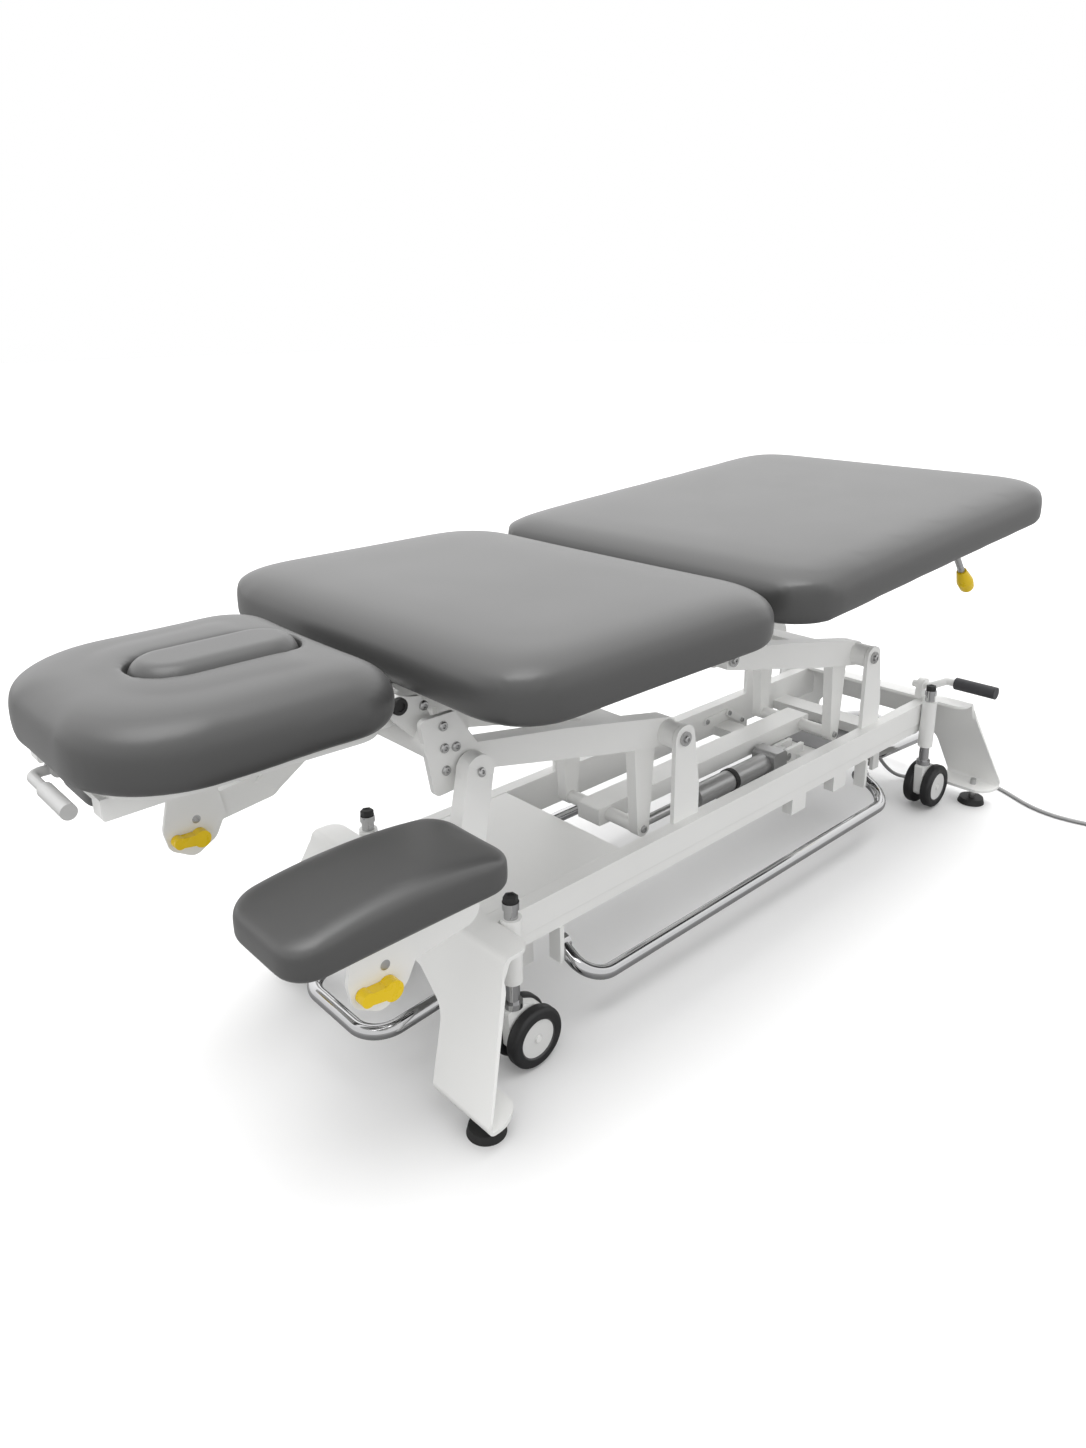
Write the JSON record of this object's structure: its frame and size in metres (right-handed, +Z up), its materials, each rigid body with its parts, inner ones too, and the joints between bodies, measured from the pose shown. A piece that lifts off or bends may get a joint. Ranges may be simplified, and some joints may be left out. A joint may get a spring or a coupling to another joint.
{
  "type": "treatment table",
  "caption": "Height-adjustable treatment table with padded head, middle and leg sections, drop armrests, a swing-arm lift, foot bars and lowering casters.",
  "frame": {"origin": "on the floor, under the middle of the table's length and width", "axes": "+X from the head end to the foot end, +Y to the far side as seen in the picture, +Z up"},
  "size_m": [1.9607, 0.9756, 0.7237],
  "materials": {
    "white_paint": "satin",
    "grey_vinyl": "satin",
    "chrome": "polished",
    "zinc_steel": "satin",
    "tyre_black": "matte",
    "black_rubber": "matte",
    "dark_grip": "matte",
    "yellow_plastic": "gloss",
    "white_plastic": "satin",
    "grey_plastic": "matte",
    "cord_grey": "matte",
    "plywood": "matte"
  },
  "bodies": {
    "base": {"base_frame": "white_paint", "head_end_plate": "white_paint", "foot_end_plate": "white_paint", "leveling_studs": "zinc_steel", "leveling_pads": "black_rubber", "base_cover_panel": "white_paint", "pivot_fins": "white_paint", "base_pivot_pins": "zinc_steel", "caster_sleeves": "white_paint", "bar_lugs": "white_paint", "control_box": "grey_plastic", "cord_gland": "black_rubber", "mains_cord": "cord_grey", "mains_coil": "cord_grey", "mains_plug": "cord_grey"},
    "front_arm": {"front_swing_arm": "white_paint"},
    "rear_arm": {"rear_swing_arm": "white_paint"},
    "beam": {"coupling_beam": "white_paint"},
    "drive_housing": {"actuator_housing": "grey_plastic"},
    "drive_rod": {"actuator_rod": "zinc_steel"},
    "top": {"top_frame": "white_paint", "top_pivot_pins": "zinc_steel", "mid_board": "plywood", "mid_cushion": "grey_vinyl"},
    "head": {"head_frame": "white_paint", "head_cushion": "grey_vinyl"},
    "plug": {"breathing_plug": "grey_vinyl"},
    "handle": {"head_handle": "grey_plastic"},
    "leg": {"leg_frame": "white_paint", "leg_board": "plywood", "leg_cushion": "grey_vinyl"},
    "lever": {"leg_lever": "zinc_steel", "leg_lever_knob": "yellow_plastic"},
    "pedal": {"pedal_arm": "white_paint", "pedal_grip": "dark_grip"},
    "carrier_near": {"armrest_carrier_near": "white_paint"},
    "rest_near": {"armrest_plate_near": "white_paint", "armrest_cushion_near": "grey_vinyl"},
    "lock_near": {"armrest_lock_near": "yellow_plastic"},
    "carrier_far": {"armrest_carrier_far": "white_paint"},
    "rest_far": {"armrest_plate_far": "white_paint", "armrest_cushion_far": "grey_vinyl"},
    "lock_far": {"armrest_lock_far": "yellow_plastic"},
    "stem_near_head": {"caster_stem_near_head": "chrome"},
    "fork_near_head": {"caster_fork_near_head": "white_plastic"},
    "wheels_near_head": {"caster_wheels_near_head": "tyre_black"},
    "stem_near_foot": {"caster_stem_near_foot": "chrome"},
    "fork_near_foot": {"caster_fork_near_foot": "white_plastic"},
    "wheels_near_foot": {"caster_wheels_near_foot": "tyre_black"},
    "stem_far_head": {"caster_stem_far_head": "chrome"},
    "fork_far_head": {"caster_fork_far_head": "white_plastic"},
    "wheels_far_head": {"caster_wheels_far_head": "tyre_black"},
    "stem_far_foot": {"caster_stem_far_foot": "chrome"},
    "fork_far_foot": {"caster_fork_far_foot": "white_plastic"},
    "wheels_far_foot": {"caster_wheels_far_foot": "tyre_black"},
    "bar_near": {"foot_bar_near": "chrome"},
    "bar_far": {"foot_bar_far": "chrome"},
    "bar_head": {"foot_bar_head": "chrome"},
    "bar_foot": {"foot_bar_foot": "chrome"}
  },
  "joints": [
    {"name": "lift", "type": "hinge", "parent": "base", "child": "front_arm", "pos_m": [-0.022, 0, 0.383], "axis": [0, 1, 0], "range_deg": [-18, 36]},
    {"name": "rear_arm_turn", "type": "hinge", "parent": "base", "child": "rear_arm", "pos_m": [0.552, 0, 0.383], "axis": [0, 1, 0], "range_deg": [-19, 37]},
    {"name": "top_level", "type": "hinge", "parent": "front_arm", "child": "top", "pos_m": [-0.42558, 0, 0.46585], "axis": [0, 1, 0], "range_deg": [-37, 19]},
    {"name": "beam_level", "type": "hinge", "parent": "front_arm", "child": "beam", "pos_m": [-0.062, 0, 0.217], "axis": [0, 1, 0], "range_deg": [-37, 19]},
    {"name": "drive_swing", "type": "hinge", "parent": "base", "child": "drive_housing", "pos_m": [0.394, -0.052, 0.196], "axis": [0, 1, 0], "range_deg": [-3.5, 6.5]},
    {"name": "drive_stroke", "type": "slide", "parent": "drive_housing", "child": "drive_rod", "axis": [-1, 0, 0], "range_m": [-0.056, 0.108]},
    {"name": "head_tilt", "type": "hinge", "parent": "top", "child": "head", "pos_m": [-0.552, 0, 0.58], "axis": [0, 1, 0], "range_deg": [-15, 25]},
    {"name": "plug_lift", "type": "slide", "parent": "head", "child": "plug", "axis": [0, 0, 1], "range_m": [0, 0.09]},
    {"name": "handle_squeeze", "type": "hinge", "parent": "head", "child": "handle", "pos_m": [-0.9021, 0.036, 0.557], "axis": [0, 1, 0], "range_deg": [0, 12]},
    {"name": "leg_tilt", "type": "hinge", "parent": "top", "child": "leg", "pos_m": [-0.019, 0, 0.572], "axis": [0, -1, 0], "range_deg": [-3.6, 15]},
    {"name": "lever_squeeze", "type": "hinge", "parent": "leg", "child": "lever", "pos_m": [0.64223, -0.222, 0.58915], "axis": [0, -1, 0], "range_deg": [0, 15]},
    {"name": "carrier_near_turn", "type": "hinge", "parent": "top", "child": "carrier_near", "pos_m": [-0.466, -0.165, 0.48], "axis": [0, 1, 0], "range_deg": [-2, 12]},
    {"name": "rest_near_tilt", "type": "hinge", "parent": "carrier_near", "child": "rest_near", "pos_m": [-0.671, -0.245, 0.331], "axis": [0, 1, 0], "range_deg": [-12.5, 2.5]},
    {"name": "lock_near_turn", "type": "hinge", "parent": "rest_near", "child": "lock_near", "pos_m": [-0.671, -0.245, 0.304], "axis": [0, 1, 0], "range_deg": [0, 80]},
    {"name": "carrier_far_turn", "type": "hinge", "parent": "top", "child": "carrier_far", "pos_m": [-0.466, 0.165, 0.48], "axis": [0, 1, 0], "range_deg": [-2, 12]},
    {"name": "rest_far_tilt", "type": "hinge", "parent": "carrier_far", "child": "rest_far", "pos_m": [-0.671, 0.245, 0.331], "axis": [0, 1, 0], "range_deg": [-12.5, 2.5]},
    {"name": "lock_far_turn", "type": "hinge", "parent": "rest_far", "child": "lock_far", "pos_m": [-0.671, 0.245, 0.304], "axis": [0, 1, 0], "range_deg": [0, 80]},
    {"name": "caster_drop_near_head", "type": "slide", "parent": "base", "child": "stem_near_head", "axis": [0, 0, -1], "range_m": [0, 0.012]},
    {"name": "caster_swivel_near_head", "type": "hinge", "parent": "stem_near_head", "child": "fork_near_head", "pos_m": [-0.422, -0.1755, 0.1], "axis": [0, 0, 1], "continuous": true},
    {"name": "caster_roll_near_head", "type": "hinge", "parent": "fork_near_head", "child": "wheels_near_head", "pos_m": [-0.4, -0.1755, 0.051], "axis": [0, 1, 0], "continuous": true},
    {"name": "caster_drop_near_foot", "type": "slide", "parent": "base", "child": "stem_near_foot", "axis": [0, 0, -1], "range_m": [0, 0.012]},
    {"name": "caster_swivel_near_foot", "type": "hinge", "parent": "stem_near_foot", "child": "fork_near_foot", "pos_m": [0.746, -0.1755, 0.1], "axis": [0, 0, 1], "continuous": true},
    {"name": "caster_roll_near_foot", "type": "hinge", "parent": "fork_near_foot", "child": "wheels_near_foot", "pos_m": [0.768, -0.1755, 0.051], "axis": [0, 1, 0], "continuous": true},
    {"name": "caster_drop_far_head", "type": "slide", "parent": "base", "child": "stem_far_head", "axis": [0, 0, -1], "range_m": [0, 0.012]},
    {"name": "caster_swivel_far_head", "type": "hinge", "parent": "stem_far_head", "child": "fork_far_head", "pos_m": [-0.422, 0.1755, 0.1], "axis": [0, 0, 1], "continuous": true},
    {"name": "caster_roll_far_head", "type": "hinge", "parent": "fork_far_head", "child": "wheels_far_head", "pos_m": [-0.4, 0.1755, 0.051], "axis": [0, 1, 0], "continuous": true},
    {"name": "caster_drop_far_foot", "type": "slide", "parent": "base", "child": "stem_far_foot", "axis": [0, 0, -1], "range_m": [0, 0.012]},
    {"name": "caster_swivel_far_foot", "type": "hinge", "parent": "stem_far_foot", "child": "fork_far_foot", "pos_m": [0.746, 0.1755, 0.1], "axis": [0, 0, 1], "continuous": true},
    {"name": "caster_roll_far_foot", "type": "hinge", "parent": "fork_far_foot", "child": "wheels_far_foot", "pos_m": [0.768, 0.1755, 0.051], "axis": [0, 1, 0], "continuous": true},
    {"name": "pedal_press", "type": "hinge", "parent": "base", "child": "pedal", "pos_m": [0.774, 0, 0.268], "axis": [0, 1, 0], "range_deg": [0, 25.2]},
    {"name": "bar_press_near", "type": "hinge", "parent": "base", "child": "bar_near", "pos_m": [0, -0.14, 0.13], "axis": [1, 0, 0], "range_deg": [0, 5], "stiffness_Nm_per_rad": 12, "springref_deg": -20.05},
    {"name": "bar_press_far", "type": "hinge", "parent": "base", "child": "bar_far", "pos_m": [0, 0.14, 0.13], "axis": [-1, 0, 0], "range_deg": [0, 5], "stiffness_Nm_per_rad": 12, "springref_deg": -20.05},
    {"name": "bar_press_head", "type": "hinge", "parent": "base", "child": "bar_head", "pos_m": [-0.338, 0, 0.114], "axis": [0, -1, 0], "range_deg": [0, 2.5], "stiffness_Nm_per_rad": 30, "springref_deg": -20.05},
    {"name": "bar_press_foot", "type": "hinge", "parent": "base", "child": "bar_foot", "pos_m": [0.662, 0, 0.114], "axis": [0, 1, 0], "range_deg": [0, 2.5], "stiffness_Nm_per_rad": 30, "springref_deg": -20.05}
  ],
  "couplings": [
    {"joint": "rear_arm_turn", "follows": "lift", "ratio": 1},
    {"joint": "top_level", "follows": "lift", "ratio": -1},
    {"joint": "beam_level", "follows": "lift", "ratio": -1},
    {"joint": "drive_swing", "follows": "lift", "ratio": 0.167},
    {"joint": "drive_stroke", "follows": "lift", "m_per_rad": 0.166},
    {"joint": "rest_near_tilt", "follows": "carrier_near_turn", "ratio": -1},
    {"joint": "rest_far_tilt", "follows": "carrier_far_turn", "ratio": -1},
    {"joint": "caster_drop_near_foot", "follows": "caster_drop_near_head", "ratio": 1},
    {"joint": "caster_drop_far_head", "follows": "caster_drop_near_head", "ratio": 1},
    {"joint": "caster_drop_far_foot", "follows": "caster_drop_near_head", "ratio": 1},
    {"joint": "pedal_press", "follows": "caster_drop_near_head", "rad_per_m": 36.36}
  ]
}
